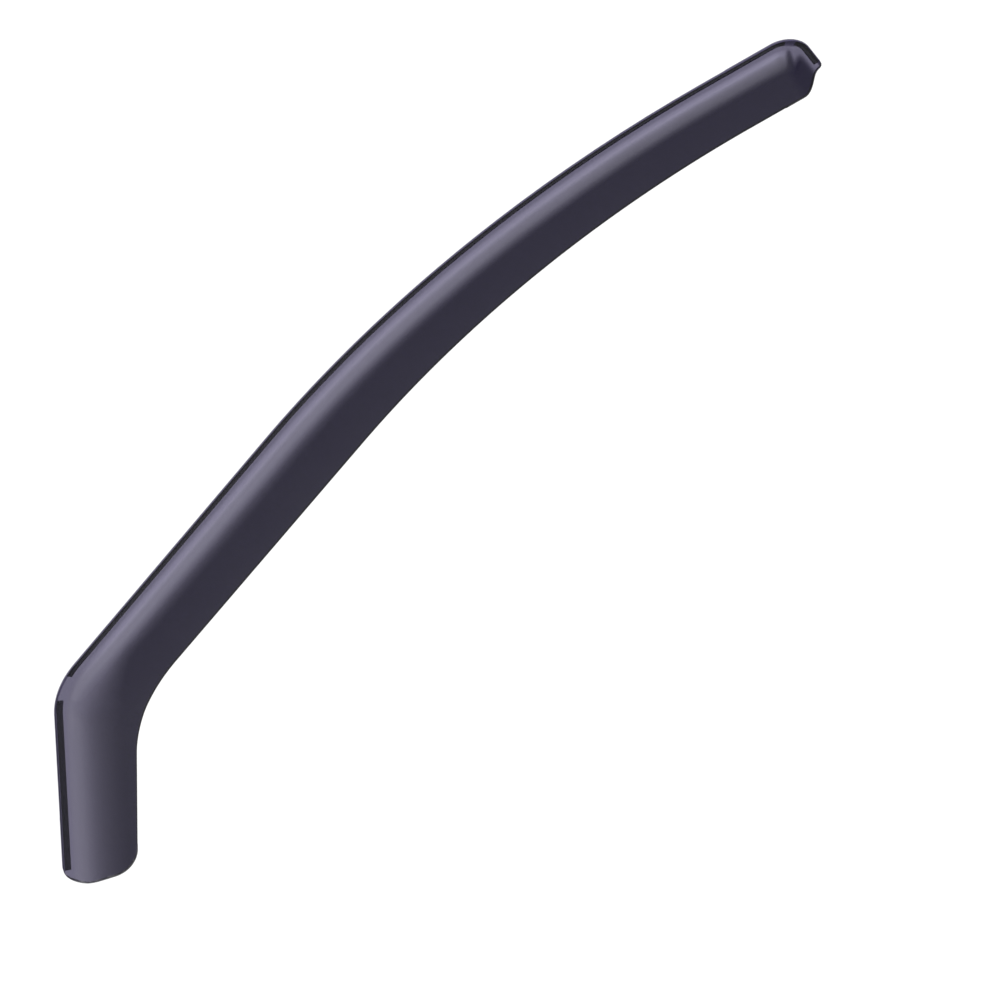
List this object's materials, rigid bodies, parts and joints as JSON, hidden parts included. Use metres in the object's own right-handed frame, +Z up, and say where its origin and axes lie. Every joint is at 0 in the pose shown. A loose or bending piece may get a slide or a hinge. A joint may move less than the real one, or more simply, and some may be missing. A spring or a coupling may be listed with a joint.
{
  "type": "window rain deflector",
  "caption": "Long bent shield of dark smoked acrylic with a flat stick-on flange and a raised face that keeps rain out of a car's front door window when it is left a little open.",
  "frame": {"origin": "middle of the adhesive face of the long tape, half way along the straight pillar run", "axes": "+X to the rear of the car along the roof run, +Z up, -Y to the outside of the car; the plane Y = 0 is the door frame the tape sticks to"},
  "size_m": [0.9011, 0.0236, 0.4509],
  "materials": {
    "smoked_acrylic": "dark smoked tint, polished, slightly see-through",
    "foam_tape": "matt black foam with adhesive on both faces"
  },
  "bodies": {
    "root": {"shield": "smoked_acrylic", "long_tape": "foam_tape", "leg_tape": "foam_tape", "end_tape": "foam_tape"}
  },
  "joints": []
}
